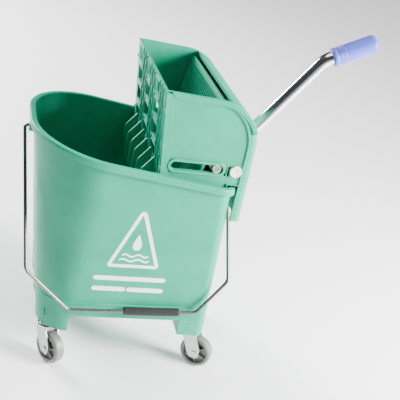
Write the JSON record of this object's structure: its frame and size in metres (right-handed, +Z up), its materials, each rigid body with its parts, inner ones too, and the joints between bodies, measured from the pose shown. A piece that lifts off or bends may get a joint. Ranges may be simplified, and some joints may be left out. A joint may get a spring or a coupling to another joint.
{
  "type": "mop bucket with wringer",
  "caption": "Rectangular wheeled mop bucket with a rounded pouring end, a wire bail and a lift-off lever wringer that presses the mop against a slotted plate.",
  "frame": {"origin": "on the floor below the middle of the tub", "axes": "+X towards the wringer end and its handle, -Y the front with the resting bail, +Z up"},
  "size_m": [0.5628, 0.2878, 0.5878],
  "materials": {
    "tub_plastic": "moulded mint green polypropylene, soft sheen",
    "zinc": "bright zinc plated steel",
    "chromed_steel": "chromed tube",
    "wheel_plastic": "pale translucent polypropylene",
    "grip_blue": "soft periwinkle blue vinyl",
    "grip_black": "dark matt plastic",
    "white_nylon": "white nylon",
    "black_nylon": "black nylon"
  },
  "bodies": {
    "bucket": {"bucket_tub": "tub_plastic", "castor_sockets": "black_nylon", "bail_bushes": "white_nylon", "castor_stem_pour_front": "zinc", "castor_stem_pour_back": "zinc", "castor_stem_press_front": "zinc", "castor_stem_press_back": "zinc"},
    "swivel_pour_front": {"castor_fork_pour_front": "zinc", "castor_axle_pour_front": "zinc"},
    "wheel_pour_front": {"castor_wheel_pour_front": "wheel_plastic"},
    "swivel_pour_back": {"castor_fork_pour_back": "zinc", "castor_axle_pour_back": "zinc"},
    "wheel_pour_back": {"castor_wheel_pour_back": "wheel_plastic"},
    "swivel_press_front": {"castor_fork_press_front": "zinc", "castor_axle_press_front": "zinc"},
    "wheel_press_front": {"castor_wheel_press_front": "wheel_plastic"},
    "swivel_press_back": {"castor_fork_press_back": "zinc", "castor_axle_press_back": "zinc"},
    "wheel_press_back": {"castor_wheel_press_back": "wheel_plastic"},
    "bail": {"bail_wire": "zinc", "bail_grip": "grip_black"},
    "wringer": {"wringer_housing": "tub_plastic", "sieve_plate": "tub_plastic", "sieve_screws": "zinc", "pivot_bushes": "white_nylon", "return_spring_front": "zinc", "return_spring_back": "zinc"},
    "lever": {"pivot_axle": "zinc", "lever_cam_front": "zinc", "lever_cam_back": "zinc", "lever_bracket": "zinc", "bracket_bolt": "zinc", "handle_tube": "chromed_steel", "handle_grip": "grip_blue"},
    "press_carriage": {"press_pin": "zinc", "slot_sliders": "white_nylon", "cam_rollers": "black_nylon"},
    "press": {"press_plate": "tub_plastic"}
  },
  "joints": [
    {"name": "swivel_pour_front", "type": "hinge", "parent": "bucket", "child": "swivel_pour_front", "pos_m": [-0.118, -0.088, 0.063], "axis": [0, 0, 1], "continuous": true},
    {"name": "roll_pour_front", "type": "hinge", "parent": "swivel_pour_front", "child": "wheel_pour_front", "pos_m": [-0.10905, -0.10126, 0.028], "axis": [0.829, 0.5592, 0], "continuous": true},
    {"name": "swivel_pour_back", "type": "hinge", "parent": "bucket", "child": "swivel_pour_back", "pos_m": [-0.118, 0.088, 0.063], "axis": [0, 0, 1], "continuous": true},
    {"name": "roll_pour_back", "type": "hinge", "parent": "swivel_pour_back", "child": "wheel_pour_back", "pos_m": [-0.11, 0.10186, 0.028], "axis": [-0.866, 0.5, 0], "continuous": true},
    {"name": "swivel_press_front", "type": "hinge", "parent": "bucket", "child": "swivel_press_front", "pos_m": [0.13, -0.09, 0.063], "axis": [0, 0, 1], "continuous": true},
    {"name": "roll_press_front", "type": "hinge", "parent": "swivel_press_front", "child": "wheel_press_front", "pos_m": [0.14311, -0.09918, 0.028], "axis": [0.5736, 0.8192, 0], "continuous": true},
    {"name": "swivel_press_back", "type": "hinge", "parent": "bucket", "child": "swivel_press_back", "pos_m": [0.13, 0.09, 0.063], "axis": [0, 0, 1], "continuous": true},
    {"name": "roll_press_back", "type": "hinge", "parent": "swivel_press_back", "child": "wheel_press_back", "pos_m": [0.14503, 0.08453, 0.028], "axis": [0.342, 0.9397, 0], "continuous": true},
    {"name": "bail_swing", "type": "hinge", "parent": "bucket", "child": "bail", "pos_m": [-0.1845, 0, 0.3746], "axis": [0.9909, 0, -0.1343], "range_deg": [-60, 0]},
    {"name": "wringer_lift", "type": "slide", "parent": "bucket", "child": "wringer", "axis": [0, 0, 1], "range_m": [0, 0.12]},
    {"name": "lever_press", "type": "hinge", "parent": "wringer", "child": "lever", "pos_m": [0.124, 0, 0.386], "axis": [0, 1, 0], "range_deg": [0, 48], "stiffness_Nm_per_rad": 1.2, "springref_deg": -40.11},
    {"name": "press_slide", "type": "slide", "parent": "wringer", "child": "press_carriage", "axis": [-1, 0, 0], "range_m": [0, 0.0461]},
    {"name": "press_tilt", "type": "hinge", "parent": "press_carriage", "child": "press", "pos_m": [0.094, 0, 0.387], "axis": [0, -1, 0], "range_deg": [0, 15]}
  ],
  "couplings": [
    {"joint": "press_slide", "follows": "lever_press", "m_per_rad": 0.053858},
    {"joint": "press_tilt", "follows": "lever_press", "ratio": 0.3}
  ]
}
